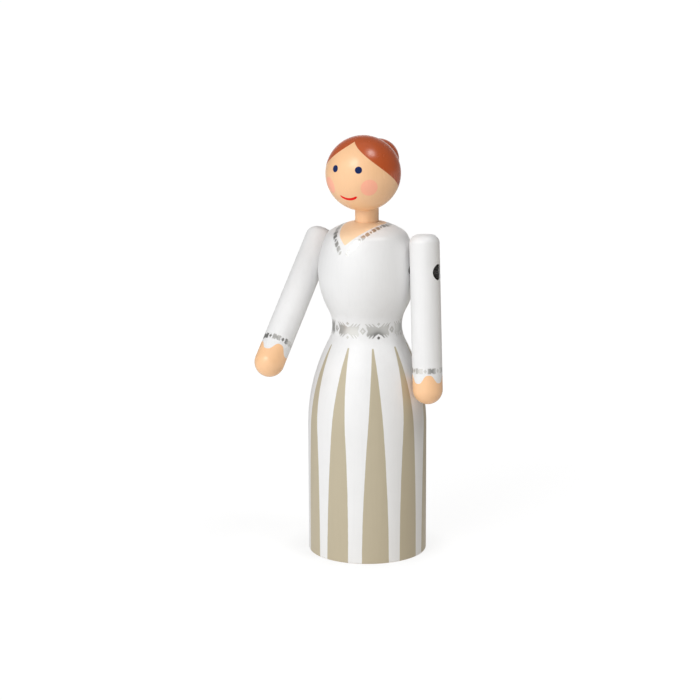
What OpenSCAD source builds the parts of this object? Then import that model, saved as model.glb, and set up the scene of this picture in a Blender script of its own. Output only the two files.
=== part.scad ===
// Wooden bride figure: a turned body with a full skirt, a ball head on a dowel
// neck, a hair bun and two dowel arms strung on one elastic cord.
// Millimetres. +Z is up, the figure faces -Y and its left arm is on the +X side.
// The origin is the centre of the skirt's flat underside.

/* [Body] */
// Diameter of the straight lower skirt
skirt_d = 48; // [42:0.5:56]
// Radius of the rounded lower edge of the skirt
hem_round = 0.8; // [0.4:0.1:2]
// Height of the straight lower skirt
skirt_straight_h = 52.4; // [40:0.2:60]
// Height of the narrowest point of the waist above the base
waist_h = 93.4; // [86:0.2:104]
// Diameter of the waist
waist_d = 28.1; // [25:0.1:31]
// Radius of the hollow curve of the waist, seen from the side
waist_round = 14; // [10:0.5:18]
// Height of the widest point of the bust above the waist
bust_rise = 22.1; // [20:0.1:25]
// Diameter of the bust
bust_d = 39.2; // [37:0.2:42]
// Height of the crown of the shoulders above the widest point of the bust
crown_rise = 20.4; // [18:0.1:23]
// Radius of the domed crown of the shoulders
crown_round = 27; // [24:0.5:32]
// Radius of the rounded shoulder between the bust and the crown
shoulder_round = 5; // [3:0.5:7]

/* [Head] */
// Diameter of the ball head
head_d = 30; // [28:0.2:36]
// Distance of the head's centre in front of the neck's axis
head_forward = 3.1; // [0:0.1:5]
// Diameter of the neck dowel
neck_d = 9.5; // [8:0.1:12]
// Bevel at the ends of the neck dowel
neck_bevel = 0.6; // [0.2:0.1:1]
// Length of neck between the crown of the shoulders and the head
neck_show = 4.4; // [2:0.1:8]
// Depth of the neck's socket in the head
neck_in_head = 9; // [6:0.5:11]
// Wood left between the neck's socket in the body and the cord's bore below it
neck_floor = 3; // [2:0.5:5]
// Running clearance round the neck in the body
neck_play = 0.06; // [0.02:0.01:0.1]
// Glue line round a dowel and behind its end
glue_line = 0.05; // [0.02:0.01:0.1]

/* [Hair bun] */
// Diameter of the ball that the bun is made of
bun_d = 16.7; // [13:0.1:18]
// Distance from the bun's centre to its flat seat
bun_flat = 1.3; // [0.5:0.1:4]
// Angle of the bun above level, at the back of the head
bun_rise = 17; // [0:1:30]
// Width of the flat on the head that shows round the bun
bun_ledge = 0.2; // [0.1:0.1:0.6]
// Diameter of the dowel that holds the bun
bun_dowel_d = 4; // [3:0.5:5]
// Length of the dowel that holds the bun
bun_dowel_l = 9; // [6:0.5:10]

/* [Arms] */
// Diameter of an arm
arm_d = 12; // [10:0.2:14]
// Length of an arm from its top to the tip of the hand
arm_l = 67.8; // [60:0.2:76]
// Length of arm above the shoulder axis
arm_above = 14.7; // [10:0.1:18]
// Radius of the rounded edge at the top of an arm
arm_top_round = 3.5; // [1:0.1:4.5]
// Height of the shoulder axis above the widest point of the bust
shoulder_rise = 1.6; // [0:0.1:4]
// Clearance between an arm and the bust
arm_gap = 0.25; // [0.2:0.05:0.6]
// Clearance between a hanging hand and the skirt
hand_gap = 0.35; // [0.3:0.05:1]
// Clearance between a raised arm and the turning head
raise_gap = 0.4; // [0.2:0.1:1]
// Swing of the left arm in front of straight down
left_swing = 3; // [-180:1:180]
// Swing of the right arm in front of straight down
right_swing = 40; // [-180:1:180]

/* [Cord] */
// Diameter of the elastic cord
cord_d = 2.5; // [2:0.1:3]
// Clearance round the cord in its bores
cord_play = 0.5; // [0.3:0.1:0.8]
// Diameter of the seat for the knot in the outer side of an arm
knot_seat_d = 6.6; // [6:0.1:7.5]
// Depth of the seat for the knot
knot_seat_depth = 4.6; // [4:0.1:6]
// Clearance round a knot in its seat
knot_play = 0.15; // [0.1:0.05:0.3]
// Diameter of each lobe of a knot
knot_lobe_d = 3.5; // [3:0.1:3.8]
// Length of the cord's cut end above a knot
knot_tail = 0.4; // [0.2:0.1:0.8]

/* [Hidden] */
$fn = 96;

// Greatest turn of the outline between two points of an arc, in degrees
arc_step = 3;
// How far a cutting solid runs past the face that it cuts
past = 1;

paint_white = "white";
skin = "burlywood";
hair = "sienna";
elastic = "dimgray";

// Heights on the body
bust_z = waist_h + bust_rise;
crown_z = bust_z + crown_rise;
shoulder_z = bust_z + shoulder_rise;

// The skirt's curve swells in from its straight part and runs smoothly into the
// waist's hollow, which runs smoothly into the bust. Two touching circles have
// their centres as far apart as the sum of their radii, and that gives the sum.
skirt_in = (skirt_d - waist_d)/2;
bust_out = (bust_d - waist_d)/2;
skirt_sum = (pow(waist_h - skirt_straight_h, 2) + pow(skirt_in, 2))/(2*skirt_in);
bust_sum = (pow(bust_rise, 2) + pow(bust_out, 2))/(2*bust_out);
skirt_round = skirt_sum - waist_round;
bust_round = bust_sum - waist_round;

// Centres of the outline's arcs, as radius and height
hem_c = [skirt_d/2 - hem_round, hem_round];
skirt_c = [skirt_d/2 - skirt_round, skirt_straight_h];
waist_c = [waist_d/2 + waist_round, waist_h];
bust_c = [bust_d/2 - bust_round, bust_z];
crown_c = [0, crown_z - crown_round];

// The shoulder's small circle touches the bust's and the crown's from inside
to_bust = bust_round - shoulder_round;
to_crown = crown_round - shoulder_round;
apart = norm(crown_c - bust_c);
along = (pow(to_bust, 2) - pow(to_crown, 2) + pow(apart, 2))/(2*apart);
aside = sqrt(pow(to_bust, 2) - pow(along, 2));
axis_way = (crown_c - bust_c)/apart;
shoulder_c = bust_c + along*axis_way + aside*[-axis_way[1], axis_way[0]];

// Angles at which one arc hands over to the next
skirt_end = direction(skirt_c, waist_c);
bust_start = direction(bust_c, waist_c);
bust_end = direction(bust_c, shoulder_c);
crown_start = direction(crown_c, shoulder_c);

// The neck stands on the body's axis and the head is set forward on it
neck_socket_z = shoulder_z + cord_d/2 + cord_play + neck_floor;
head_under_z = crown_z + neck_show;
head_z = head_under_z + sqrt(pow(head_d/2, 2) - pow(head_forward, 2));
neck_top_z = head_under_z + neck_in_head;

// The bun's flat sits on a flat on the head, a little wider than the bun's own
bun_seat_r = sqrt(pow(bun_d/2, 2) - pow(bun_flat, 2));
head_flat = sqrt(pow(head_d/2, 2) - pow(bun_seat_r + bun_ledge, 2));
bun_c = head_flat + bun_flat;

// The arms hang beside the bust and lean out just enough to clear the skirt
arm_r = arm_d/2;
shoulder_x = bust_d/2 + arm_gap + arm_r;
arm_drop = arm_l - arm_above - arm_r;
hand_z = shoulder_z - arm_drop;
hand_reach = arm_r + hand_gap;
hand_x_curve = skirt_c[0] + sqrt(pow(skirt_round + hand_reach, 2) - pow(hand_z - skirt_c[1], 2));
hand_x = hand_z > skirt_straight_h ? hand_x_curve : skirt_d/2 + hand_reach;
splay = asin(max(0, hand_x - shoulder_x)/arm_drop);

// Each arm swings about its own bore, which leans less than the arm does, so that
// a raised arm comes in no further than the head and the bun reach as they turn
bun_z = head_z + bun_c*sin(bun_rise);
bun_reach = bun_c*cos(bun_rise) - head_forward + bun_d/2;
head_reach = max(head_d/2 + head_forward, bun_reach);
raised_lean = asin((shoulder_x - arm_r - raise_gap - head_reach)/(bun_z - shoulder_z));
bore_lean = min(splay, (splay + raised_lean)/2);

// The cord runs between the floors of the two seats, and a knot fills each seat
cord_bore_d = cord_d + 2*cord_play;
knot_floor_x = arm_r - knot_seat_depth;
cord_half = shoulder_x + knot_floor_x - knot_play;
knot_lobe_out = knot_seat_d/2 - knot_play - knot_lobe_d/2;
knot_mid_x = knot_floor_x + knot_play + knot_lobe_d/2;

// Direction from one point of the outline to another, in degrees
function direction(from, to) = atan2(to[1] - from[1], to[0] - from[0]);

// Points along an arc after its first one, which the arc before it has
function arc(centre, radius, from, to) =
    let (steps = ceil(abs(to - from)/arc_step))
    [for (i = [1:steps])
        let (angle = from + (to - from)*i/steps)
        centre + radius*[cos(angle), sin(angle)]];

// Half outline of the body from the base up to the crown
function body_outline() = concat(
    [[0, 0], [hem_c[0], 0]],
    arc(hem_c, hem_round, -90, 0),
    [[skirt_d/2, skirt_straight_h]],
    arc(skirt_c, skirt_round, 0, skirt_end),
    arc(waist_c, waist_round, skirt_end + 180, bust_start + 180),
    arc(bust_c, bust_round, bust_start, bust_end),
    arc(shoulder_c, shoulder_round, bust_end, crown_start),
    arc(crown_c, crown_round, crown_start, 90)
);

// Cylinder along X from x0 to x1
module bar_x(x0, x1, d) {
    translate([x0, 0, 0])
        rotate([0, 90, 0])
            cylinder(h = x1 - x0, d = d);
}

// Dowel on the Z axis with both ends bevelled
module dowel(z0, z1, d, bevel) {
    rotate_extrude()
        polygon([
            [0, z0], [d/2 - bevel, z0], [d/2, z0 + bevel],
            [d/2, z1 - bevel], [d/2 - bevel, z1], [0, z1]
        ]);
}

// Moves the head's frame, with its origin at the ball's centre, into place
module at_head() {
    translate([0, -head_forward, head_z])
        children();
}

// Turns +Z to the way that the bun points from the head's centre
module towards_bun() {
    at_head()
        rotate([bun_rise - 90, 0, 0])
            children();
}

// Moves a left arm's frame, with its origin on the shoulder axis, into place
module at_shoulder(swing) {
    translate([shoulder_x, 0, shoulder_z])
        rotate([0, -bore_lean, 0])
            rotate([-swing, 0, 0])
                children();
}

// Round stick with a softened top and a round hand, its shoulder at the origin
module arm_blank() {
    edge_z = arm_above - arm_top_round;
    rotate_extrude()
        intersection() {
            union() {
                translate([0, -arm_drop])
                    circle(r = arm_r);
                translate([0, -arm_drop])
                    square([arm_r, arm_drop + edge_z]);
                translate([0, -arm_drop])
                    square([arm_r - arm_top_round, arm_drop + arm_above]);
                translate([arm_r - arm_top_round, edge_z])
                    circle(r = arm_top_round);
            }
            translate([0, -arm_drop - arm_r])
                square([arm_r, arm_l]);
        }
}

// Arm with its shoulder axis along X, drilled for the cord and its knot
module arm() {
    difference() {
        rotate([0, bore_lean - splay, 0])
            arm_blank();
        bar_x(-arm_d, arm_d, cord_bore_d);
        bar_x(knot_floor_x, arm_d, knot_seat_d);
    }
}

// Overhand knot in the seat of the left arm: three lobes round the cord's cut end
module knot() {
    for (turn = [0:120:240])
        rotate([turn, 0, 0])
            translate([knot_mid_x, 0, knot_lobe_out])
                sphere(d = knot_lobe_d);
    bar_x(knot_mid_x - knot_lobe_d/4, knot_mid_x + knot_lobe_d/2 + knot_tail, cord_d);
}

module body() {
    color(paint_white)
        difference() {
            rotate_extrude()
                polygon(body_outline());
            translate([0, 0, neck_socket_z])
                cylinder(h = crown_z - neck_socket_z + past, d = neck_d + 2*neck_play);
            translate([0, 0, shoulder_z])
                bar_x(-skirt_d, skirt_d, cord_bore_d);
        }
}

module neck_peg() {
    color(skin)
        dowel(neck_socket_z + neck_play, neck_top_z, neck_d, neck_bevel);
}

module head() {
    color(skin)
        difference() {
            at_head()
                sphere(d = head_d);
            translate([0, 0, head_under_z - head_d/2])
                cylinder(h = head_d/2 + neck_in_head + glue_line, d = neck_d + 2*glue_line);
            towards_bun()
                translate([0, 0, head_flat])
                    cylinder(h = head_d, d = 2*head_d);
            towards_bun()
                translate([0, 0, head_flat - bun_dowel_l/2 - glue_line])
                    cylinder(h = head_d, d = bun_dowel_d + 2*glue_line);
        }
}

module hair_bun() {
    color(hair)
        towards_bun()
            difference() {
                translate([0, 0, bun_c])
                    sphere(d = bun_d);
                translate([0, 0, head_flat - bun_d])
                    cylinder(h = bun_d, d = 2*bun_d);
                translate([0, 0, head_flat - past])
                    cylinder(h = bun_dowel_l/2 + glue_line + past, d = bun_dowel_d + 2*glue_line);
            }
}

module bun_dowel() {
    color(skin)
        towards_bun()
            translate([0, 0, head_flat - bun_dowel_l/2])
                cylinder(h = bun_dowel_l, d = bun_dowel_d);
}

module left_arm() {
    color(paint_white)
        at_shoulder(left_swing)
            arm();
}

module right_arm() {
    color(paint_white)
        mirror([1, 0, 0])
            at_shoulder(right_swing)
                arm();
}

module shoulder_cord() {
    color(elastic)
        translate([0, 0, shoulder_z])
            bar_x(-cord_half, cord_half, cord_d);
}

module left_knot() {
    color(elastic)
        at_shoulder(left_swing)
            knot();
}

module right_knot() {
    color(elastic)
        mirror([1, 0, 0])
            at_shoulder(right_swing)
                knot();
}

body();
neck_peg();
head();
hair_bun();
bun_dowel();
left_arm();
right_arm();
shoulder_cord();
left_knot();
right_knot();
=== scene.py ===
"""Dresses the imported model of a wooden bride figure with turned, drilled and painted pieces."""

import math
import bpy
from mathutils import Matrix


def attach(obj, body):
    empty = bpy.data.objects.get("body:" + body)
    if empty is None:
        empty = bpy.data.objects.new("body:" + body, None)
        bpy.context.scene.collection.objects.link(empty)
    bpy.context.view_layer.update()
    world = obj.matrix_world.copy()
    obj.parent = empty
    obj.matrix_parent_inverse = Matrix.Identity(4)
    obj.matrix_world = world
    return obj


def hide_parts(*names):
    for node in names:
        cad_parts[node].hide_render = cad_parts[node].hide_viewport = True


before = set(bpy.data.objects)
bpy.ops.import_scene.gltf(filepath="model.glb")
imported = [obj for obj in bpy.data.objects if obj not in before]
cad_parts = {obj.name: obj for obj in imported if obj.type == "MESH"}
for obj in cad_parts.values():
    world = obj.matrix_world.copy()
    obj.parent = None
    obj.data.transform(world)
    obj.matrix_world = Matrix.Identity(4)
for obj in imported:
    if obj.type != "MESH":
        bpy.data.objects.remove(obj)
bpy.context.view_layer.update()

from types import SimpleNamespace

import bmesh
import bpy
from mathutils import Matrix, Vector
from mathutils.kdtree import KDTree

bl_info = {
    "name": "Wooden Bride Figure",
    "version": (1, 0, 0),
    "blender": (4, 5, 0),
    "location": "View3D > Sidebar > Bride",
    "description": "Turns, drills and paints a wooden bride figure and sets up a plain studio",
    "category": "Add Mesh",
}

MM = 0.001
# Steps round each turned piece, and round the neck, the bun and the drill
RINGS_BODY, RINGS_HEAD, RINGS_ARM, RINGS_SMALL = 192, 144, 144, 96
# Points nearer to each other than this are one point, on a turned piece and on a cord
SAME_POINT, SAME_CORD_POINT = 0.002 * MM, 0.00002 * MM
# Faces along a cut that are narrower than this are taken away
SLIVER = 0.01 * MM
# Half of the width over which an edge is softened, of paint and of a drilled bore
PAINT_EDGE, BORE_EDGE = 0.05 * MM, 0.02 * MM
# How far a bore's finish reaches past its wall, and how deep paint runs into a knot's seat
BORE_MARGIN, SEAT_PAINT = 0.04 * MM, 0.6 * MM
# Height of paint that lies over other paint
PAINT_HEIGHT = 0.012 * MM
# Share by which a bore's wall is darkened, a painted shade where the cord fills the bore
BORE_SHADE_SHARE = 0.95
# Roughness of the silver, and how much rougher the neckline's border is
SILVER_ROUGH, NECKLINE_ROUGHER = 0.3, 0.07
# Radius of the studio's floor in metres
FLOOR_R = 20
# Light on the open floor, and the white that the floor shows the camera there
OPEN_FLOOR_LIGHT, FLOOR_WHITE_POINT = 0.85, 1.035
# Colour of the light that the floor throws back from its unlit side
WARM_BOUNCE = (1, 0.87, 0.68)


def size(name, description, millimetres):
    """Length property with its default in millimetres."""
    return bpy.props.FloatProperty(
        name=name, description=description, default=millimetres * MM, unit="LENGTH", precision=5)


def angle(name, description, degrees):
    """Angle property with its default in degrees."""
    return bpy.props.FloatProperty(
        name=name, description=description, default=math.radians(degrees), subtype="ANGLE")


def number(name, description, default):
    """Plain number property."""
    return bpy.props.FloatProperty(name=name, description=description, default=default)


def paint(name, description, *screen):
    """Colour property with its default as red, green and blue out of 255 on a screen."""
    linear = [(c / 255 / 12.92) if c < 11 else ((c / 255 + 0.055) / 1.055) ** 2.4 for c in screen]
    return bpy.props.FloatVectorProperty(
        name=name, description=description, default=linear, subtype="COLOR", min=0, max=1)


class BrideBody(bpy.types.PropertyGroup):
    """Sizes of the turned body"""
    skirt_d: size("Skirt diameter", "Diameter of the straight lower skirt", 48)
    hem_round: size("Hem radius", "Radius of the rounded lower edge of the skirt", 0.8)
    skirt_straight_h: size("Straight skirt", "Height of the straight lower skirt", 52.4)
    waist_h: size("Waist height", "Height of the narrowest point of the waist", 93.4)
    waist_d: size("Waist diameter", "Diameter of the waist", 28.1)
    waist_round: size("Waist radius", "Radius of the hollow curve of the waist", 14)
    bust_rise: size("Bust rise", "Height of the widest point of the bust above the waist", 22.1)
    bust_d: size("Bust diameter", "Diameter of the bust", 39.2)
    crown_rise: size("Crown rise", "Height of the crown of the shoulders above the bust", 20.4)
    crown_round: size("Crown radius", "Radius of the domed crown of the shoulders", 27)
    shoulder_round: size("Shoulder radius", "Radius between the bust and the crown", 5)
    socket_lip: size("Socket lip", "Bevel round the mouth of the neck's socket", 0.25)


class BrideHead(bpy.types.PropertyGroup):
    """Sizes of the neck, the head and the bun"""
    head_d: size("Head diameter", "Diameter of the ball head", 30)
    head_forward: size("Head forward", "Distance of the head's centre in front of the neck's axis", 3.1)
    neck_d: size("Neck diameter", "Diameter of the neck dowel", 9.5)
    neck_bevel: size("Neck bevel", "Rounding at the ends of the neck dowel", 0.6)
    neck_show: size("Neck length", "Length of neck between the shoulders and the head", 4.4)
    neck_in_head: size("Neck in head", "Depth of the neck's socket in the head", 9)
    neck_floor: size("Neck floor", "Wood left between the neck's socket and the cord's bore", 3)
    neck_play: size("Neck play", "Running clearance round the neck in the body", 0.06)
    glue_line: size("Glue line", "Clearance round a glued dowel", 0.05)
    bun_d: size("Bun diameter", "Diameter of the ball that the bun is made of", 16.7)
    bun_flat: size("Bun flat", "Distance from the bun's centre to its flat seat", 1.3)
    bun_rise: angle("Bun rise", "Angle of the bun above level, at the back of the head", 17)
    bun_ledge: size("Bun ledge", "Width of the flat on the head that shows round the bun", 0.2)
    bun_dowel_d: size("Bun dowel diameter", "Diameter of the dowel that holds the bun", 4)
    bun_dowel_l: size("Bun dowel length", "Length of the dowel that holds the bun", 9)


class BrideArms(bpy.types.PropertyGroup):
    """Sizes of the arms and the elastic cord"""
    arm_d: size("Arm diameter", "Diameter of an arm", 12)
    arm_l: size("Arm length", "Length of an arm from its top to the tip of the hand", 67.8)
    arm_above: size("Arm above shoulder", "Length of arm above the shoulder axis", 14.7)
    arm_top_round: size("Arm top radius", "Radius of the rounded edge at the top of an arm", 3.5)
    shoulder_rise: size("Shoulder rise", "Height of the shoulder axis above the bust", 1.6)
    arm_gap: size("Arm gap", "Clearance between an arm and the bust", 0.25)
    hand_gap: size("Hand gap", "Clearance between a hanging hand and the skirt", 0.35)
    raise_gap: size("Raise gap", "Clearance between a raised arm and the turning head", 0.4)
    left_swing: angle("Left swing", "Swing of the left arm in front of straight down", 3)
    right_swing: angle("Right swing", "Swing of the right arm in front of straight down", 40)
    cord_d: size("Cord diameter", "Diameter of the elastic cord", 2.5)
    cord_play: size("Cord play", "Clearance round the cord in its bores", 0.5)
    knot_seat_d: size("Knot seat diameter", "Diameter of the seat for the knot", 6.6)
    knot_seat_depth: size("Knot seat depth", "Depth of the seat for the knot", 4.6)
    knot_play: size("Knot play", "Clearance round a knot in its seat", 0.15)
    knot_cord_d: size("Pulled cord diameter", "Diameter of the cord where the knot pulls it thin", 2.1)


class BridePaint(bpy.types.PropertyGroup):
    """Colours and layout of the painted finish"""
    white: paint("White", "Lacquer of the dress and the sleeves", 231, 231, 231)
    beige: paint("Beige", "Stripes of the skirt", 185, 174, 149)
    skin: paint("Skin", "Face and hands", 245, 197, 151)
    # Paler than the skin: painted light for the stronger light on the upturned chest
    lit_chest_skin: paint("Chest", "Paler skin in the neckline", 246, 212, 174)
    # Paler than the skin: painted light that makes up for the head's shadow on the neck
    neck: paint("Neck", "Neck dowel", 251, 206, 160)
    hair: paint("Hair", "Painted hair and bun", 185, 83, 36)
    silver: paint("Silver", "Metallic borders", 206, 205, 201)
    eye: paint("Eye", "Painted eyes", 0, 30, 84)
    cheek: paint("Cheek", "Painted cheeks", 255, 176, 148)
    mouth: paint("Mouth", "Painted mouth", 232, 14, 8)
    wood: paint("Wood", "Bare beech in the bores and under the skirt", 222, 190, 146)
    # Near black: a painted shade for the walls of the bores round the cord
    bore_shade: paint("Burnt bore", "Walls of the bores, darkened by the drill and the cord", 15, 12, 11)
    wood_dark: paint("Wood grain", "Darker rings and pores of the bare beech", 184, 142, 98)
    elastic: paint("Elastic", "Woven cover of the cord", 6, 6, 7)
    # Painted highlight on the crests of the woven cover's threads
    elastic_sheen: paint("Elastic highlights", "Raised threads of the woven cover", 76, 73, 69)
    dress_rough: number("Dress roughness", "Roughness of the satin lacquer of the dress", 0.37)
    skin_rough: number("Skin roughness", "Roughness of the satin lacquer of the skin", 0.2)
    hair_rough: number("Hair roughness", "Roughness of the satin lacquer of the hair", 0.21)
    dress_turn: angle("Dress turn", "Turn of the painted dress to the figure's left", -0.4)
    stripe_lean: angle("Stripe lean", "How unevenly the stripes are laid at the hem", 2.3)
    stripe_count: number("Stripe count", "Number of stripes round the skirt", 10)
    stripe_w: size("Stripe width", "Width of a stripe at the hem", 10)
    stripe_point: size("Stripe point", "Height at which the sides of a stripe would meet", 90)
    stripe_tip: size("Stripe tip", "Height of the blunt tip of a stripe", 86.6)
    stripe_curve: number("Stripe curve", "How the stripe narrows with height", 1.9)
    belt_h: size("Belt height", "Height of the middle of the belt", 93.4)
    belt_w: size("Belt width", "Height of the belt from edge to edge", 6.1)
    belt_repeats: number("Belt repeats", "Pairs of wings round the belt", 7)
    belt_turn: angle("Belt turn", "Turn of the belt to the figure's left", -5.2)
    neckline_tip: size("Neckline tip", "Height of the point of the neckline", 127.9)
    neckline_slope: number("Neckline slope", "Half width gained by the neckline for its height", 1.12)
    neckline_turn: angle("Neckline turn", "Turn of the neckline and its border to the figure's left", -3)
    border_tip: size("Border tip", "Height of the point of the neckline's border", 123.1)
    border_slope: number("Border slope", "Half width gained by the border for its height", 0.79)
    border_w: size("Border width", "Width of the border along the neckline", 2.0)
    border_repeat: size("Border repeat", "Length of one repeat of the neckline's border", 6.25)
    border_start: size("Border start", "Place of the first lozenge from the border's point", 2.5)
    border_shift: size("Border shift", "How much further the first lozenge is on the left", 1.0)
    border_blank: size("Border blank", "Length at the border's point that is left white", 1.9)
    left_cuff_h: size("Left cuff height", "Height of the left border above the hand's middle", 8.0)
    right_cuff_h: size("Right cuff height", "Height of the right border above the hand's middle", 8.7)
    cuff_w: size("Cuff width", "Width of the cuff's border", 2.35)
    cuff_repeats: number("Cuff repeats", "Repeats of the border round a cuff", 7)
    left_cuff_turn: angle("Left cuff turn", "Turn of the left cuff's border", 18)
    right_cuff_turn: angle("Right cuff turn", "Turn of the right cuff's border", 5)
    left_scallop_turn: angle("Left scallop turn", "Turn of the left sleeve's edge", -14)
    right_scallop_turn: angle("Right scallop turn", "Turn of the right sleeve's edge", 0)
    scallop_h: size("Scallop height", "Mean height of the sleeve's edge above the hand's middle", 4.65)
    scallop_wave: size("Scallop wave", "Half of the wave of the sleeve's edge", 1.7)
    scallops: number("Scallops", "Lobes round the sleeve's edge", 4)


class BrideStudio(bpy.types.PropertyGroup):
    """Camera and lights"""
    distance: size("Distance", "Distance of the camera from the figure's axis", 872)
    aside: size("Aside", "Shift of the camera to its right", -6.92)
    height: size("Height", "Height of the camera above the floor", 273.4)
    turn: angle("Turn", "Turn of the camera round the figure, to the figure's left", 28)
    tilt: angle("Tilt", "Angle by which the camera looks down", 12.33)
    roll: angle("Roll", "Lean of the camera", 0.2)
    lens: number("Lens", "Focal length in millimetres on a 36 mm sensor", 113.76)
    fill: number("Fill", "Strength of the even light from all round", 0.05)
    wash: number("Wash", "Strength of the very broad light from the front left", 1.83)
    wash_width: angle("Wash width", "How wide the very broad light looks from the figure", 90)
    key: number("Key", "Strength of the main light from the front left", 0.84)
    key_width: angle("Key width", "How wide the main light looks from the figure", 27)
    top: number("Top", "Strength of the small light from above", 0.95)
    top_width: angle("Top width", "How wide the small light looks from the figure", 19)
    rear: number("Rear", "Strength of the broad light on the figure's back", 1.5)
    rear_width: angle("Rear width", "How wide the rear light looks from the figure", 40)
    floor_white: number("Floor white", "Share of the light that the floor throws back", 0.3)
    floor_glow: number("Floor glow", "Light that the floor gives of its own", 0.53)
    floor_shadow: number("Floor shadow", "Share of the floor's white that shadows can take away", 0.2)
    contact: number("Contact shadow", "Depth of the narrow shadow round the hem", 0.075)
    contact_r: size("Contact radius", "Radius at which the narrow shadow is half as deep", 30)
    contact_soft: size("Contact softness", "Half of the width over which the narrow shadow fades", 9)
    gloss_height: size("Gloss height", "Height from which the floor's gloss is worked out", 93)
    gloss_floor: number("Gloss floor", "Brightness of the floor as gloss shows it", 0.66)
    gloss_room: number("Gloss room", "Brightness of the studio's walls, as gloss shows them", 0.25)
    gloss_above: number("Gloss above", "Brightness of the studio overhead, as gloss shows it", 0.6)
    gloss_box: number("Gloss box", "Brightness of the soft box at the left, as gloss shows it", 1.25)


class BrideSettings(bpy.types.PropertyGroup):
    """Everything about the figure that a user would change"""
    body: bpy.props.PointerProperty(type=BrideBody, name="Body", description="Sizes of the body")
    head: bpy.props.PointerProperty(type=BrideHead, name="Head", description="Sizes of the head")
    arms: bpy.props.PointerProperty(type=BrideArms, name="Arms", description="Sizes of the arms")
    paint: bpy.props.PointerProperty(type=BridePaint, name="Paint", description="Colours and layout")
    studio: bpy.props.PointerProperty(type=BrideStudio, name="Studio", description="Camera and lights")


def direction(start, end):
    """Direction from one point of an outline to another."""
    return math.atan2(end[1] - start[1], end[0] - start[0])


def measures():
    """Works out the figure's places from its sizes, as the solid model does."""
    bride = bpy.context.scene.bride
    b, h, a = bride.body, bride.head, bride.arms
    m = SimpleNamespace(body=b, head=h, arms=a, paint=bride.paint)
    m.bust_z = b.waist_h + b.bust_rise
    m.crown_z = m.bust_z + b.crown_rise
    m.shoulder_z = m.bust_z + a.shoulder_rise

    skirt_in = (b.skirt_d - b.waist_d) / 2
    bust_out = (b.bust_d - b.waist_d) / 2
    skirt_rise = b.waist_h - b.skirt_straight_h
    m.skirt_round = (skirt_rise ** 2 + skirt_in ** 2) / (2 * skirt_in) - b.waist_round
    m.bust_round = (b.bust_rise ** 2 + bust_out ** 2) / (2 * bust_out) - b.waist_round
    m.hem_c = Vector((b.skirt_d / 2 - b.hem_round, b.hem_round))
    m.skirt_c = Vector((b.skirt_d / 2 - m.skirt_round, b.skirt_straight_h))
    m.waist_c = Vector((b.waist_d / 2 + b.waist_round, b.waist_h))
    m.bust_c = Vector((b.bust_d / 2 - m.bust_round, m.bust_z))
    m.crown_c = Vector((0, m.crown_z - b.crown_round))
    to_bust, to_crown = m.bust_round - b.shoulder_round, b.crown_round - b.shoulder_round
    apart = (m.crown_c - m.bust_c).length
    along = (to_bust ** 2 - to_crown ** 2 + apart ** 2) / (2 * apart)
    aside = math.sqrt(to_bust ** 2 - along ** 2)
    way = (m.crown_c - m.bust_c) / apart
    m.shoulder_c = m.bust_c + along * way + aside * Vector((-way.y, way.x))
    m.skirt_end = direction(m.skirt_c, m.waist_c)
    m.bust_start = direction(m.bust_c, m.waist_c)
    m.bust_end = direction(m.bust_c, m.shoulder_c)
    m.crown_start = direction(m.crown_c, m.shoulder_c)

    m.socket_r = h.neck_d / 2 + h.neck_play
    m.socket_z = m.shoulder_z + a.cord_d / 2 + a.cord_play + h.neck_floor
    m.head_under_z = m.crown_z + h.neck_show
    m.head_r = h.head_d / 2
    head_z = m.head_under_z + math.sqrt(m.head_r ** 2 - h.head_forward ** 2)
    m.head_c = Vector((0, -h.head_forward, head_z))
    m.neck_top_z = m.head_under_z + h.neck_in_head
    m.bun_seat_r = math.sqrt((h.bun_d / 2) ** 2 - h.bun_flat ** 2)
    m.head_flat = math.sqrt(m.head_r ** 2 - (m.bun_seat_r + h.bun_ledge) ** 2)
    m.bun_c = m.head_flat + h.bun_flat
    m.bun_way = Vector((0, math.cos(h.bun_rise), math.sin(h.bun_rise)))

    m.arm_r = a.arm_d / 2
    m.shoulder_x = b.bust_d / 2 + a.arm_gap + m.arm_r
    m.arm_drop = a.arm_l - a.arm_above - m.arm_r
    reach = m.skirt_round + m.arm_r + a.hand_gap
    hand_z = m.shoulder_z - m.arm_drop
    hand_x = m.skirt_c.x + math.sqrt(reach ** 2 - (hand_z - m.skirt_c.y) ** 2)
    m.splay = math.asin((hand_x - m.shoulder_x) / m.arm_drop)
    bun = m.head_c + m.bun_c * m.bun_way
    head_reach = max(m.head_r + h.head_forward, bun.y + h.bun_d / 2)
    room = m.shoulder_x - m.arm_r - a.raise_gap - head_reach
    raised_lean = math.asin(room / (bun.z - m.shoulder_z))
    m.bore_lean = min(m.splay, (m.splay + raised_lean) / 2)
    m.bore_r = a.cord_d / 2 + a.cord_play
    m.knot_floor_x = m.arm_r - a.knot_seat_depth
    m.cord_half = m.shoulder_x + m.knot_floor_x - a.knot_play
    return m


def arm_place(m, side, swing):
    """Places an arm's bore, along X from the shoulder, for the left (1) or the right (-1) side."""
    lean = Matrix.Rotation(-m.bore_lean, 4, "Y")
    place = Matrix.Translation((m.shoulder_x, 0, m.shoulder_z)) @ lean @ Matrix.Rotation(-swing, 4, "X")
    return Matrix.Diagonal((side, 1, 1, 1)) @ place


def arm_tilt(m):
    """Turns an arm on its bore by what it leans more than the bore."""
    return Matrix.Rotation(m.bore_lean - m.splay, 4, "Y")


# Modelling


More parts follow.
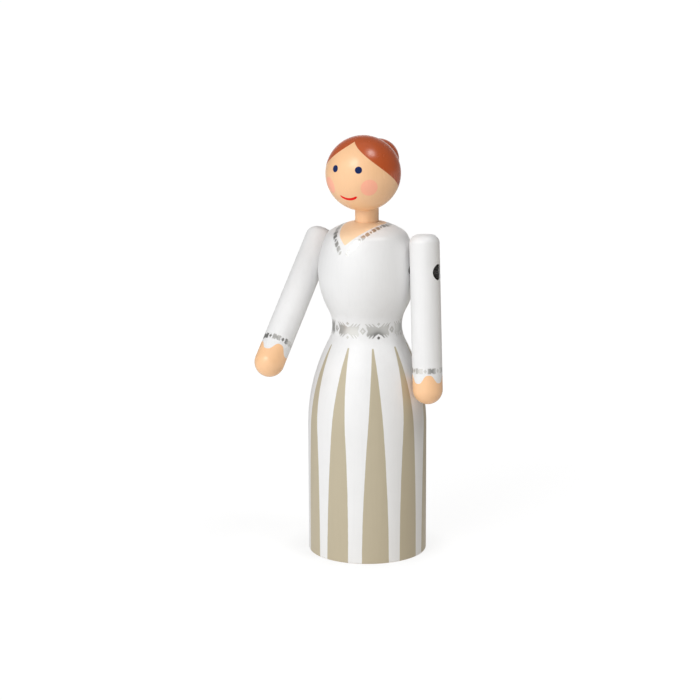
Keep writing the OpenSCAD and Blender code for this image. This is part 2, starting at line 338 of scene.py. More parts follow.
class Outline:
    """Half outline of a turned piece in the XZ plane, drawn on from its last point."""

    def __init__(self, radius, height):
        self.bm = bmesh.new()
        self.end = self.bm.verts.new((radius, 0, height))

    def line(self, radius, height, steps=1):
        """Draws on in a straight line."""
        step = (Vector((radius, 0, height)) - self.end.co) / steps
        for _ in range(steps):
            self.end = bmesh.ops.extrude_vert_indiv(self.bm, verts=[self.end])["verts"][0]
            bmesh.ops.translate(self.bm, verts=[self.end], vec=step)

    def arc(self, centre, turn, step):
        """Draws on round a centre in steps of so many degrees, anticlockwise for a positive turn."""
        steps = max(2, math.ceil(abs(turn) / math.radians(step)))
        drawn = bmesh.ops.spin(
            self.bm, geom=[self.end], cent=(centre[0], 0, centre[1]), axis=(0, -1, 0), angle=turn,
            steps=steps)
        self.end = drawn["geom_last"][0]

    def turned(self, rings):
        """Spins the outline about the Z axis into a closed shape."""
        bmesh.ops.spin(
            self.bm, geom=self.bm.verts[:] + self.bm.edges[:], cent=(0, 0, 0), axis=(0, 0, 1),
            angle=math.tau, steps=rings, use_merge=True)
        close_shape(self.bm)
        return self.bm


def close_shape(bm, near=SAME_POINT):
    """Merges the points that coincide and turns the faces outwards."""
    bmesh.ops.remove_doubles(bm, verts=bm.verts, dist=near)
    bmesh.ops.recalc_face_normals(bm, faces=bm.faces)


def new_object(name, bm):
    """Makes an object at the origin from a bmesh."""
    mesh = bpy.data.meshes.new(name)
    bm.to_mesh(mesh)
    bm.free()
    made = bpy.data.objects.new(name, mesh)
    bpy.context.scene.collection.objects.link(made)
    return made


def take_result(piece):
    """Puts the result of a piece's modifiers into its mesh."""
    graph = bpy.context.evaluated_depsgraph_get()
    old, mesh = piece.data, bpy.data.meshes.new_from_object(piece.evaluated_get(graph))
    piece.modifiers.clear()
    piece.data = mesh
    mesh.name = piece.name
    bpy.data.meshes.remove(old)


def put_in_order(elements, place):
    """Sorts points, edges or faces by where they are, so that each run gives the same mesh."""
    for index, each in enumerate(sorted(elements, key=place)):
        each.index = index
    elements.sort()


def clean_cut(bm, narrow):
    """Takes away the slivers along a cut and the faces that then lie back to back."""
    put_in_order(bm.verts, lambda vert: vert.co.to_tuple(4))
    put_in_order(bm.edges, lambda edge: (edge.verts[0].co + edge.verts[1].co).to_tuple(4))
    put_in_order(bm.faces, lambda face: face.calc_center_median().to_tuple(4))
    bmesh.ops.remove_doubles(bm, verts=bm.verts, dist=narrow)
    bmesh.ops.dissolve_degenerate(bm, edges=bm.edges, dist=narrow)
    bmesh.ops.triangulate(bm, faces=[face for face in bm.faces if len(face.verts) > 4])
    twins = {}
    for face in bm.faces:
        twins.setdefault(frozenset(face.verts), []).append(face)
    back_to_back = [face for faces in twins.values() if len(faces) > 1 for face in faces]
    bmesh.ops.delete(bm, geom=back_to_back, context="FACES")
    bmesh.ops.recalc_face_normals(bm, faces=bm.faces)


def drill(piece, start, end, diameter):
    """Cuts a round bore out of a piece, in millimetres, which suit the solver better than metres."""
    way = end - start
    middle = Matrix.Translation((start + end) / 2) @ way.to_track_quat("Z", "Y").to_matrix().to_4x4()
    bm = bmesh.new()
    bmesh.ops.create_cone(
        bm, cap_ends=True, segments=RINGS_SMALL, radius1=diameter / 2, radius2=diameter / 2,
        depth=way.length, matrix=middle)
    bit = new_object("drill_bit", bm)
    for each in (bit, piece):
        each.data.transform(Matrix.Scale(1 / MM, 4))
    cut = piece.modifiers.new("bore", "BOOLEAN")
    cut.operation, cut.solver, cut.object = "DIFFERENCE", "EXACT", bit
    take_result(piece)
    bm = bmesh.new()
    bm.from_mesh(piece.data)
    clean_cut(bm, SLIVER / MM)
    bm.to_mesh(piece.data)
    bm.free()
    piece.data.transform(Matrix.Scale(MM, 4))
    mesh = bit.data
    bpy.data.objects.remove(bit)
    bpy.data.meshes.remove(mesh)


def dress(piece, body, slot, material, *nodes, crease=40):
    """Smooths and paints a piece, sets it on its body and lets it stand for its solids."""
    piece.data.shade_smooth()
    piece.data.set_sharp_from_angle(angle=math.radians(crease))
    piece.data.materials.clear()
    piece.data.materials.append(material)
    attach(piece, body)
    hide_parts(*nodes)


# Materials


class Field:
    """Value over a surface: a node's output that arithmetic adds nodes to."""

    def __init__(self, socket):
        self.socket = socket

    def calc(self, operation, *others):
        """Result of a math node on this value and others."""
        node = self.socket.id_data.nodes.new("ShaderNodeMath")
        node.operation = operation
        for slot, value in zip(node.inputs, (self, *others)):
            plug(slot, value)
        return Field(node.outputs[0])

    def __add__(self, other):
        return self.calc("ADD", other)

    def __mul__(self, other):
        return self.calc("MULTIPLY", other)

    def __sub__(self, other):
        return self.calc("SUBTRACT", other)

    def __truediv__(self, other):
        return self.calc("DIVIDE", other)

    def __pow__(self, other):
        return self.calc("POWER", other)

    def __rsub__(self, other):
        return (self * -1) + other

    def __abs__(self):
        return self.calc("ABSOLUTE")

    __radd__, __rmul__ = __add__, __mul__

    def above(self, edge, soft):
        """Mask that is 1 where the value is above an edge, softened over a width."""
        node = self.socket.id_data.nodes.new("ShaderNodeMapRange")
        node.interpolation_type = "SMOOTHSTEP"
        plug(node.inputs["Value"], self - edge)
        plug(node.inputs["From Min"], -soft)
        plug(node.inputs["From Max"], soft)
        return Field(node.outputs[0])

    def below(self, edge, soft):
        """Mask that is 1 where the value is below an edge, softened over a width."""
        return 1 - self.above(edge, soft)

    def either(self, other):
        """The larger of two masks."""
        return self.calc("MAXIMUM", other)


def plug(slot, value):
    """Links a field or socket to an input, or sets a plain value on it."""
    if isinstance(value, Field):
        value = value.socket
    if isinstance(value, bpy.types.NodeSocket):
        slot.id_data.links.new(value, slot)
    else:
        slot.default_value = value


def new_node(tree, kind, inputs=None, **settings):
    """Adds a node with its settings and its inputs by name."""
    node = tree.nodes.new(kind)
    for key, value in settings.items():
        setattr(node, key, value)
    for key, value in (inputs or {}).items():
        plug(node.inputs[key], value)
    return node


def mix(tree, mask, under, over):
    """Lays one colour over another where the mask is 1."""
    node = new_node(tree, "ShaderNodeMix", data_type="RGBA")
    factor, first, second = (node.inputs[index] for index in (0, 6, 7))
    plug(factor, mask)
    for slot, colour in ((first, under), (second, over)):
        plug(slot, colour if isinstance(colour, bpy.types.NodeSocket) else rgba(colour))
    return node.outputs[2]


def rgba(colour):
    """Colour with full opacity."""
    return (*colour[:3], 1.0)


def split(tree, vector):
    """X, Y and Z of a vector as fields."""
    node = new_node(tree, "ShaderNodeSeparateXYZ", {"Vector": vector})
    return [Field(out) for out in node.outputs]


def noise(tree, vector, scale, detail=2.0, stretch=None):
    """Noise from 0 to 1, with its scale in lumps per metre."""
    if stretch:
        turned = new_node(tree, "ShaderNodeMapping", {"Vector": vector, "Scale": stretch})
        vector = turned.outputs[0]
    node = new_node(
        tree, "ShaderNodeTexNoise", {"Vector": vector, "Scale": scale, "Detail": detail})
    return Field(node.outputs[0])


def new_group(name, inputs, outputs):
    """Starts a node group and returns its tree, its inputs by name and its output node."""
    tree = bpy.data.node_groups.new(name, "ShaderNodeTree")
    for label, kind in inputs.items():
        tree.interface.new_socket(label, in_out="INPUT", socket_type="NodeSocket" + kind)
    for label, kind in outputs.items():
        tree.interface.new_socket(label, in_out="OUTPUT", socket_type="NodeSocket" + kind)
    given = tree.nodes.new("NodeGroupInput")
    result = tree.nodes.new("NodeGroupOutput")
    return tree, {out.name: out for out in given.outputs if out.name}, result.inputs


def use_group(tree, name, **inputs):
    """Places a node group, with its inputs by name, and returns its outputs."""
    node = new_node(tree, "ShaderNodeGroup", node_tree=bpy.data.node_groups[name])
    for label, value in inputs.items():
        plug(node.inputs[label], value)
    return {out.name: out for out in node.outputs}


def make_lacquer_group():
    """Satin lacquer: faint clouds in the colour, orange peel and grain that shows through."""
    tree, given, result = new_group(
        "satin_lacquer", {"Colour": "Color", "Position": "Vector", "Rough": "Float"},
        {"Colour": "Color", "Roughness": "Float", "Height": "Float"})
    at = given["Position"]
    clouds = noise(tree, at, 140, 3)
    grain = noise(tree, at, 1.0, 1, stretch=(900, 900, 45))
    peel = noise(tree, at, 420, 1)
    shade = 0.975 + clouds * 0.05 - grain.above(0.58, 0.12) * 0.014
    tint = new_node(tree, "ShaderNodeVectorMath", operation="SCALE")
    plug(tint.inputs[0], given["Colour"])
    plug(tint.inputs["Scale"], shade)
    plug(result["Colour"], tint.outputs[0])
    plug(result["Roughness"], clouds * 0.06 + grain * 0.05 + given["Rough"])
    plug(result["Height"], peel * (0.0022 * MM) + grain * (0.0016 * MM))


def make_wood_group():
    """Bare beech: growth rings round a heart outside the piece, fine pores and lathe marks."""
    tree, given, result = new_group(
        "bare_beech", {"Light": "Color", "Dark": "Color", "Position": "Vector"},
        {"Colour": "Color", "Roughness": "Float", "Height": "Float"})
    x, y, _ = split(tree, given["Position"])
    heart_x, heart_y, rings_per_metre = 11 * MM, -17 * MM, 560
    wobble = noise(tree, given["Position"], 110, 3) * (4 * MM)
    rings = ((distance_from(x - heart_x, y - heart_y) + wobble) * rings_per_metre).calc("FRACT")
    pores = noise(tree, given["Position"], 1.0, 2, stretch=(3600, 3600, 160)).above(0.6, 0.08)
    dark = (rings ** 3.0) * 0.6 + pores * 0.35
    plug(result["Colour"], mix(tree, dark, given["Light"], given["Dark"]))
    plug(result["Roughness"], 0.62 + pores * 0.2)
    plug(result["Height"], pores * (-0.012 * MM) + rings * (0.004 * MM))


def make_border_group():
    """Border of winged pairs between lozenges, after old woven and carved bands."""
    shape = (
        "Lozenge", "Tall", "Heart", "Gap", "Taper", "Cut", "Notch", "Apex", "Dot", "Teeth", "Slant",
        "Bite")
    _, given, result = new_group(
        "winged_border", {label: "Float" for label in ("Along", "Across", *shape)}, {"Mask": "Float"})
    lozenge, tall, heart, gap, taper, cut, notch, apex, dot, teeth, slant, bite = (
        Field(given[label]) for label in shape)
    soft, slit_soft, low_start, heart_size = 0.04, 0.17, 0.55, 0.4
    bead_out, bead_wide, bead_tall = 0.92, 0.056, 0.24
    across = Field(given["Across"])
    w, low = abs(across), (across * -1 - low_start).calc("MAXIMUM", 0.0)
    t = Field(given["Along"]).calc("PINGPONG", 0.5)
    side = 0.5 - t
    slit = ((t - w * slant) * teeth).calc("PINGPONG", 0.5).above(0.25, slit_soft)
    wing = (w + slit * bite).below(1.0, soft)
    end = (side - gap * (1 - w * taper) - low * cut).above(0, soft / 5)
    valley = ((w - apex) / (1 - apex) - t / notch).above(0, soft)
    stone = side / lozenge + w / tall
    ring = stone.below(1.0, soft) * (1 - stone.below(heart_size, soft) * heart)
    bead = (t / bead_wide + abs(w - bead_out) / bead_tall).below(1.0, soft) * dot
    plug(result["Mask"], (wing * end * (1 - valley)).either(ring).either(bead))


def make_braid_group():
    """Woven cover of the elastic: two sets of threads that cross round the cord, with a painted
    highlight on their crests.
    """
    tree, given, result = new_group(
        "woven_cover", {"Dark": "Color", "Light": "Color", "Strip": "Vector"},
        {"Colour": "Color", "Roughness": "Float", "Height": "Float"})
    along, around, _ = split(tree, given["Strip"])
    threads, turns_per_metre = 8, 900
    one, two = (
        ((around * threads + along * way) * math.tau).calc("SINE")
        for way in (turns_per_metre, -turns_per_metre))
    fibres = noise(tree, given["Strip"], 1.0, 2, stretch=(9000, 60, 1))
    raised = one.calc("MAXIMUM", two) * 0.5 + 0.5
    # Painted highlight on the thread crests, uneven along the fibres
    thread_sheen = raised ** 3.0 * (0.35 + fibres * 0.8)
    plug(result["Colour"], mix(tree, thread_sheen, given["Dark"], given["Light"]))
    plug(result["Roughness"], 0.66 + fibres * 0.2)
    plug(result["Height"], raised * (0.09 * MM) + fibres * (0.01 * MM))


def new_material(name):
    """Starts a material and returns it with its tree, its shader and its place on the object."""
    material = bpy.data.materials.new(name)
    material.use_nodes = True
    tree = material.node_tree
    shader = tree.nodes["Principled BSDF"]
    place = new_node(tree, "ShaderNodeTexCoord").outputs["Object"]
    return material, tree, shader, place


def finish(tree, shader, colour, roughness, height):
    """Gives a shader its colour, its roughness and its relief in metres."""
    plug(shader.inputs["Base Color"], colour)
    plug(shader.inputs["Roughness"], roughness)
    bump = new_node(tree, "ShaderNodeBump", {"Height": height, "Distance": 1.0})
    plug(shader.inputs["Normal"], bump.outputs[0])


def lay_paint(
        m, tree, shader, place, colour, rough, relief=None, silver=None, silver_rough=SILVER_ROUGH,
        bare=None, bore_shade=None, grain=None):
    """Lacquers a colour, raises its edges, lays silver over it and leaves wood bare or darkens it with
    painted shade.
    """
    coat = use_group(tree, "satin_lacquer", Colour=colour, Position=place, Rough=rough)
    colour, height = coat["Colour"], Field(coat["Height"])
    roughness = Field(coat["Roughness"])
    if relief is not None:
        height = height + relief * PAINT_HEIGHT
    if silver is not None:
        colour = mix(tree, silver, colour, m.paint.silver)
        roughness = roughness * (1 - silver) + silver * silver_rough
        plug(shader.inputs["Metallic"], silver)
    if bare is not None:
        wood = use_group(
            tree, "bare_beech", Light=rgba(m.paint.wood), Dark=rgba(m.paint.wood_dark),
            Position=place if grain is None else grain)
        # Painted shade darkens the bare wood where its mask is 1
        inside = wood["Colour"] if bore_shade is None else mix(tree, bore_shade, wood["Colour"], m.paint.bore_shade)
        colour = mix(tree, bare, colour, inside)
        roughness = roughness * (1 - bare) + bare * Field(wood["Roughness"])
        height = height * (1 - bare) + bare * Field(wood["Height"])
    finish(tree, shader, colour, roughness, height)


def read_mark(tree, name):
    """Value that the mesh keeps for each of its points."""
    return Field(new_node(tree, "ShaderNodeAttribute", attribute_name=name).outputs["Fac"])


def round_angle(x, y):
    """Angle round the Z axis from the front, to the figure's left, as a field."""
    return x.calc("ARCTAN2", y * -1)


def distance_from(a, b):
    """Length of a pair of fields at right angles."""
    return (a * a + b * b).calc("SQRT")


def dress_material(m):
    """White dress with striped skirt, silver belt and neckline, skin above it painted paler as painted
    light, and bare bores darkened with painted shade.
    """
    p = m.paint
    material, tree, shader, place = new_material("painted_dress")
    x, y, z = split(tree, place)
    r = distance_from(x, y)
    around = round_angle(x, y)
    turned = around - p.dress_turn
    lean = ((turned * 3).calc("COSINE") + (turned * 4).calc("COSINE") + 1) * (p.stripe_lean / 2)
    turned = turned + lean * (1 - z / p.stripe_tip)

    repeat = math.tau / p.stripe_count
    gap = (turned / repeat).calc("PINGPONG", 0.5) * repeat * r
    half = (1 - (z.calc("MAXIMUM", 0.0) / p.stripe_point) ** p.stripe_curve) * (p.stripe_w / 2)
    wander = (noise(tree, place, 260, 2) - 0.5) * (0.22 * MM)
    stripe = (gap + wander - half).below(0, PAINT_EDGE) * z.below(p.stripe_tip, 0.2 * MM)

    belt = use_group(
        tree, "winged_border", Along=(around - p.belt_turn) * (p.belt_repeats / math.tau),
        Across=(z - p.belt_h) / (p.belt_w / 2), Lozenge=0.1, Tall=0.5, Heart=0.7, Gap=0.16, Taper=0.6,
        Cut=0.3, Notch=0.19, Apex=0.38, Dot=1.0, Teeth=9.5, Slant=0.21, Bite=0.46)
    skin_edge = read_mark(tree, "neckline_out")
    across = read_mark(tree, "border_out") / (p.border_w / 2)
    from_tip = read_mark(tree, "border_along")
    start = x.above(0, 0.1 * MM) * p.border_shift + p.border_start
    block_lean = 0.05
    along = (from_tip - start) / p.border_repeat + across * block_lean + 0.5
    border = use_group(
        tree, "winged_border", Along=along, Across=across, Lozenge=0.1, Tall=1.0, Heart=0.0, Gap=0.17,
        Taper=0.1, Cut=0.0, Notch=0.05, Apex=-0.6, Dot=0.0, Teeth=6.0, Slant=0.0, Bite=0.1)
    above = z.above(p.border_tip - 6 * MM, 0.1 * MM)
    skin = skin_edge.below(0, PAINT_EDGE) * above
    from_point = from_tip.above(p.border_blank, 0.1 * MM)
    silver = Field(belt["Mask"]).either(Field(border["Mask"]) * above * from_point)

    bore = distance_from(y, z - m.shoulder_z).below(m.bore_r + BORE_MARGIN, BORE_EDGE)
    socket = r.below(m.socket_r + 0.12 * MM, 0.04 * MM) * z.above(m.socket_z - 0.5 * MM, 0.1 * MM)
    under = z.below(0.12 * MM, 0.08 * MM)
    colour = mix(tree, stripe, p.white, p.beige)
    # The neckline's skin is painted paler, as painted light on the chest
    colour = mix(tree, skin, colour, p.lit_chest_skin)
    # The cord's bore through the body is darkened with painted shade
    lay_paint(
        m, tree, shader, place, colour, p.dress_rough, relief=stripe.either(skin).either(silver),
        silver=silver, silver_rough=SILVER_ROUGH + above * NECKLINE_ROUGHER,
        bare=bore.either(socket).either(under), bore_shade=bore * BORE_SHADE_SHARE)
    return material


def sleeve_material(m, name, side, swing, cuff_h, cuff_turn, scallop_turn):
    """White sleeve with a silver cuff and a scalloped edge over the hand, bare in its bore and seat,
    which are darkened with painted shade.
    """
    p = m.paint
    material, tree, shader, place = new_material(name)
    turn = arm_place(m, 1, swing).to_3x3()
    turn = (Matrix.Diagonal((side, 1, 1)) @ turn @ Matrix.Diagonal((side, 1, 1))).to_euler("XYZ")
    bore_frame = new_node(
        tree, "ShaderNodeMapping",
        {"Vector": place, "Location": (side * m.shoulder_x, 0, m.shoulder_z), "Rotation": turn,
         "Scale": (side, 1, 1)}, vector_type="TEXTURE").outputs[0]
    arm_frame = new_node(
        tree, "ShaderNodeMapping", {"Vector": bore_frame, "Rotation": arm_tilt(m).to_euler("XYZ")},
        vector_type="TEXTURE").outputs[0]
    x, y, z = split(tree, arm_frame)
    around = round_angle(x, y)
    up = z + m.arm_drop

    wave = ((around - scallop_turn) * p.scallops).calc("COSINE")
    edge = p.scallop_h - wave * (1.4 - wave * wave * 0.4) * p.scallop_wave
    hand = (up - edge).below(0, PAINT_EDGE)
    cuff = use_group(
        tree, "winged_border", Along=(around - cuff_turn) * (p.cuff_repeats / math.tau) + 0.5,
        Across=(up - cuff_h) / (p.cuff_w / 2), Lozenge=0.13, Tall=0.8, Heart=0.0, Gap=0.2, Taper=0.1,
        Cut=0.0, Notch=0.08, Apex=0.45, Dot=0.0, Teeth=8.0, Slant=0.1, Bite=0.12)
    out, across_y, across_z = split(tree, bore_frame)
    from_bore, from_axis = distance_from(across_y, across_z), distance_from(x, y)
    seat = from_bore.below(m.arms.knot_seat_d / 2 + BORE_MARGIN, BORE_EDGE) * out.above(0, 0.1 * MM)
    seat = seat * from_axis.below(m.arm_r - SEAT_PAINT, 0.2 * MM)
    bore = from_bore.below(m.bore_r + BORE_MARGIN, BORE_EDGE)
    silver = Field(cuff["Mask"])
    # Inside the bore and the knot's seat the wall is darkened with painted shade
    lay_paint(
        m, tree, shader, place, mix(tree, hand, p.white, p.skin),
        p.dress_rough + hand * (p.skin_rough - p.dress_rough), relief=hand.either(silver), silver=silver,
        bare=bore.either(seat), bore_shade=from_axis.below(m.arm_r - 0.1 * MM, PAINT_EDGE) * BORE_SHADE_SHARE,
        grain=arm_frame)
    return material


def head_material(m):
    """Skin with hair parted at the front, round eyes, cheeks and a smile, bare in its sockets."""
    p = m.paint
    material, tree, shader, place = new_material("painted_head")
    own = new_node(
        tree, "ShaderNodeMapping", {"Vector": place, "Location": m.head_c, "Scale": (m.head_r,) * 3},
        vector_type="TEXTURE").outputs[0]
    x, y, z = split(tree, own)
    length = distance_from(distance_from(x, y), z)
    degrees = 180 / math.pi
    up = (z / length).calc("ARCSINE") * degrees
    around = abs(round_angle(x, y) * degrees)

    # Places in degrees round from the front and up from level, and radii on a head of radius 1
    parting, fall, flare, nape, nape_soft = 62, 0.95, 0.0016, -38.0, 12.0
    eye_at, eye_r = (20.4, 12), 0.095
    cheek_at, cheek_r = (37, -15.2), 0.226
    mouth_up, mouth_curl, mouth_half, mouth_end, mouth_thick = -36.2, 4.8, 15.8, 14.6, 2.5
    cheek_strength, drawn_rougher = 0.9, 0.7
    hairline = (parting - around * (fall - around * flare)).calc("SMOOTH_MAX", nape, nape_soft)
    hair = (up - hairline).above(0, 0.35)
    mirrored = new_node(tree, "ShaderNodeCombineXYZ", {"X": abs(x), "Y": y, "Z": z}).outputs[0]

    def spot(at, radius, soft):
        """Round spot on both sides of the face."""
        turn, rise = (math.radians(degree) for degree in at)
        centre = (math.sin(turn) * math.cos(rise), -math.cos(turn) * math.cos(rise), math.sin(rise))
        node = new_node(tree, "ShaderNodeVectorMath", operation="DISTANCE")
        plug(node.inputs[0], mirrored)
        plug(node.inputs[1], centre)
        return Field(node.outputs["Value"]).below(radius, soft)

    eye = spot(eye_at, eye_r, 0.006)
    cheek = spot(cheek_at, cheek_r, 0.012)
    smile = around / mouth_half
    line = abs(up - mouth_up - smile * smile * mouth_curl)
    past_end = (around - mouth_end).calc("MAXIMUM", 0.0)
    mouth = (line + past_end * 0.9).below(mouth_thick, 0.3) * y.below(0, 0.01)
    skin_tone = mix(tree, cheek * cheek_strength, p.skin, p.cheek)
    colour = mix(tree, mouth, skin_tone, p.mouth)
    colour = mix(tree, hair, colour, p.hair)
    colour = mix(tree, eye, colour, p.eye)

    px, py, pz = split(tree, place)
    socket = distance_from(px, py).below(m.socket_r + 0.1 * MM, 0.04 * MM) * pz.below(m.head_c.z, MM)
    drawn = eye.either(mouth)
    rough = p.skin_rough + hair * (p.hair_rough - p.skin_rough) + drawn * drawn_rougher
    lay_paint(
        m, tree, shader, place, colour, rough, relief=hair.either(drawn),
        bare=socket.either(length.below(0.8, 0.01)))
    return material


def plain_paint(m, name, colour, rough):
    """One lacquered colour."""
    material, tree, shader, place = new_material(name)
    lay_paint(m, tree, shader, place, rgba(colour), rough)
    return material


def beech_material(m):
    """Bare beech dowel."""
    material, tree, shader, place = new_material("bare_beech_dowel")
    along_bun = new_node(
        tree, "ShaderNodeMapping",
        {"Vector": place, "Location": m.head_c, "Rotation": (m.head.bun_rise - math.pi / 2, 0, 0)},
        vector_type="TEXTURE").outputs[0]
    wood = use_group(
        tree, "bare_beech", Light=rgba(m.paint.wood), Dark=rgba(m.paint.wood_dark), Position=along_bun)
    finish(tree, shader, wood["Colour"], wood["Roughness"], wood["Height"])
    return material


def elastic_material(m):
    """Black elastic with a woven cover, read along the cord's own strip."""
    material, tree, shader, _ = new_material("woven_elastic")
    strip = new_node(tree, "ShaderNodeUVMap", uv_map="UVMap").outputs[0]
    cover = use_group(
        tree, "woven_cover", Dark=rgba(m.paint.elastic), Light=rgba(m.paint.elastic_sheen), Strip=strip)
    finish(tree, shader, cover["Colour"], cover["Roughness"], cover["Height"])
    return material


# Pieces


def neckline_path(m, tip, slope):
    """Left half of a neckline, from its point at the front up and round to the back."""
    climb, turns = 0.05 * MM, 120
    arcs = (
        (m.bust_c, m.bust_round, m.bust_end), (m.shoulder_c, m.body.shoulder_round, m.crown_start))

    def radius_at(height):
        for centre, radius, end in arcs:
            if height < centre.y + radius * math.sin(end):
                return centre.x + math.sqrt(radius ** 2 - (height - centre.y) ** 2)
        return math.sqrt(max(0, m.body.crown_round ** 2 - (height - m.crown_c.y) ** 2))

    path, height = [], tip
    while slope * (height - tip) < radius_at(height):
        half = slope * (height - tip)
        path.append(Vector((half, -math.sqrt(radius_at(height) ** 2 - half ** 2), height)))
        height += climb
    collar = path[-1].xy.length
    start = math.atan2(path[-1].x, -path[-1].y)
    for step in range(1, turns + 1):
        turn = start + (math.pi - start) * step / turns
        path.append(Vector((collar * math.sin(turn), -collar * math.cos(turn), path[-1].z)))
    return path


def from_line(m, mesh, tip, slope):
    """How far each point of a mesh is out from a neckline, and how far along it from its point."""
    path = neckline_path(m, tip, slope)
    tree, lengths = KDTree(len(path)), [0.0]
    for index, spot in enumerate(path):
        tree.insert(spot, index)
    tree.balance()
    for before, after in zip(path, path[1:]):
        lengths.append(lengths[-1] + (after - before).length)
    collar = path[-1].xy.length
    turn = Matrix.Rotation(-m.paint.neckline_turn, 3, "Z")
    out, along = [], []
    for vert in mesh.vertices:
        spot = turn @ vert.co
        spot.x = abs(spot.x)
        _, near, away = tree.find(spot)
        inside = spot.x < slope * (spot.z - tip) if spot.y < 0 else spot.xy.length < collar
        out.append(-away if inside else away)
        along.append(lengths[near])
    return out, along


def mark(mesh, name, values):
    """Keeps a value for each point of a mesh."""
    mesh.attributes.new(name, "FLOAT", "POINT").data.foreach_set("value", values)


class BRIDE_OT_stage(bpy.types.Operator):
    """Lay the white floor and set the lights and the camera"""
    bl_idname = "bride.stage"
    bl_label = "Studio"

    def execute(self, context):
        scene, s = context.scene, context.scene.bride.studio
        scene.view_settings.view_transform = "Standard"
        self.lay_floor(s)
        self.make_world(scene, s)
        self.stand_camera(scene, s)
        self.hang_lamps(scene, s)
        return {"FINISHED"}

    def lay_floor(self, s):
        """Lays a floor that is white to the camera, and the studio's floor to light and to gloss."""
        bm = bmesh.new()
        bmesh.ops.create_circle(bm, cap_ends=True, segments=64, radius=FLOOR_R)
        floor = new_object("studio_floor", bm)
        material = bpy.data.materials.new("white_floor")
        material.use_nodes = True
        tree = material.node_tree
        tree.nodes.remove(tree.nodes["Principled BSDF"])
        shown, mirrored = self.rays(tree)
        seen = shown.either(mirrored)
        x, y, _ = split(tree, new_node(tree, "ShaderNodeTexCoord").outputs["Object"])
        away = (x * x + y * y + s.gloss_height ** 2).calc("SQRT")
        down = away ** -1.0 * -s.gloss_height
        right, front, box, dark, behind = self.studio(s, x / away, y / away, down)
        matt = new_node(tree, "ShaderNodeBsdfDiffuse")
        plug(matt.inputs["Color"], mix(tree, seen, (s.floor_white,) * 3, (s.floor_shadow,) * 3))
        glow = new_node(tree, "ShaderNodeEmission")
        contact = distance_from(x, y).below(s.contact_r, s.contact_soft) * s.contact
        white = FLOOR_WHITE_POINT - s.floor_shadow * OPEN_FLOOR_LIGHT - contact
        far = front.below(-0.5, 0.25)
        gloss = s.gloss_floor + far * (s.gloss_room - s.gloss_floor)
        gloss = gloss + box * (s.gloss_box - s.gloss_floor)
        gloss = gloss + behind * (1 - gloss) - dark * s.gloss_floor
        lit = (front - right).above(0.2, 0.7)
        unlit_share, lit_gain = 0.75, 0.55
        bounce = (lit * lit_gain + unlit_share) * s.floor_glow
        plug(glow.inputs["Color"], mix(tree, lit.either(seen), WARM_BOUNCE, (1, 1, 1)))
        plug(glow.inputs["Strength"], bounce + mirrored * (gloss - bounce) + shown * (white - bounce))
        both = tree.nodes.new("ShaderNodeAddShader")
        plug(both.inputs[0], matt.outputs[0])
        plug(both.inputs[1], glow.outputs[0])
        plug(tree.nodes["Material Output"].inputs["Surface"], both.outputs[0])
        floor.data.materials.append(material)

    def make_world(self, scene, s):
        """Makes a world that is white to the camera, a studio to gloss and otherwise a faint light."""
        world = bpy.data.worlds.new("white_studio")
        world.use_nodes = True
        tree = world.node_tree
        shown, mirrored = self.rays(tree)
        x, y, z = split(tree, new_node(tree, "ShaderNodeTexCoord").outputs["Generated"])
        _, _, box, dark, behind = self.studio(s, x, y, z)
        room = s.gloss_room - dark * s.gloss_room + z.above(0.9, 0.06) * (s.gloss_above - s.gloss_room)
        room = room + box * (s.gloss_box - s.gloss_room) + behind * (1 - s.gloss_room)
        sky = tree.nodes["Background"]
        plug(sky.inputs["Color"], (1, 1, 1, 1))
        plug(sky.inputs["Strength"], s.fill + mirrored * (room - s.fill) + shown * (1 - s.fill))
        scene.world = world

    @staticmethod
    def hang_lamps(scene, s):
        """Hangs the lamps so far off that each lights the whole figure from one side."""
        # Name, strength, width, degrees to the camera's right and above level, seen in gloss
        lamps = (
            ("wash_light", s.wash, s.wash_width, -37, 21, False),
            ("key_light", s.key, s.key_width, -34, 36, True),
            ("top_light", s.top, s.top_width, 52, 65, True),
            ("rear_light", s.rear, s.rear_width, 172, 8, False))
        for name, strength, width, turn, rise, glossy in lamps:
            lamp = bpy.data.lights.new(name, "SUN")
            lamp.energy, lamp.angle = strength, width
            made = bpy.data.objects.new(name, lamp)
            made.visible_glossy = glossy
            made.rotation_euler = (math.radians(90 - rise), 0, s.turn + math.radians(turn))
            scene.collection.objects.link(made)

    @staticmethod
    def studio(s, x, y, z):
        """Parts of a direction to the camera's right and towards the camera, and three masks of it.

        The masks are a soft box at the left, a dark place at the right and the white wall behind.
        """
        right = x * math.cos(s.turn) + y * math.sin(s.turn)
        front = x * math.sin(s.turn) - y * math.cos(s.turn)
        soft_box, dark_place = (-0.69, 0.69, 0.21), (0.557, 0.826, 0.087)
        box, dark = (right * a + front * b + z * c for a, b, c in (soft_box, dark_place))
        return right, front, box.above(0.8, 0.12), dark.above(0.965, 0.03), front.below(-0.93, 0.05)

    @staticmethod
    def rays(tree):
        """1 for what the camera sees, and 1 for what a mirror or glass shows of the studio."""
        path = new_node(tree, "ShaderNodeLightPath").outputs
        mirrored = Field(path["Is Glossy Ray"]).either(Field(path["Is Transmission Ray"]))
        return Field(path["Is Camera Ray"]), mirrored

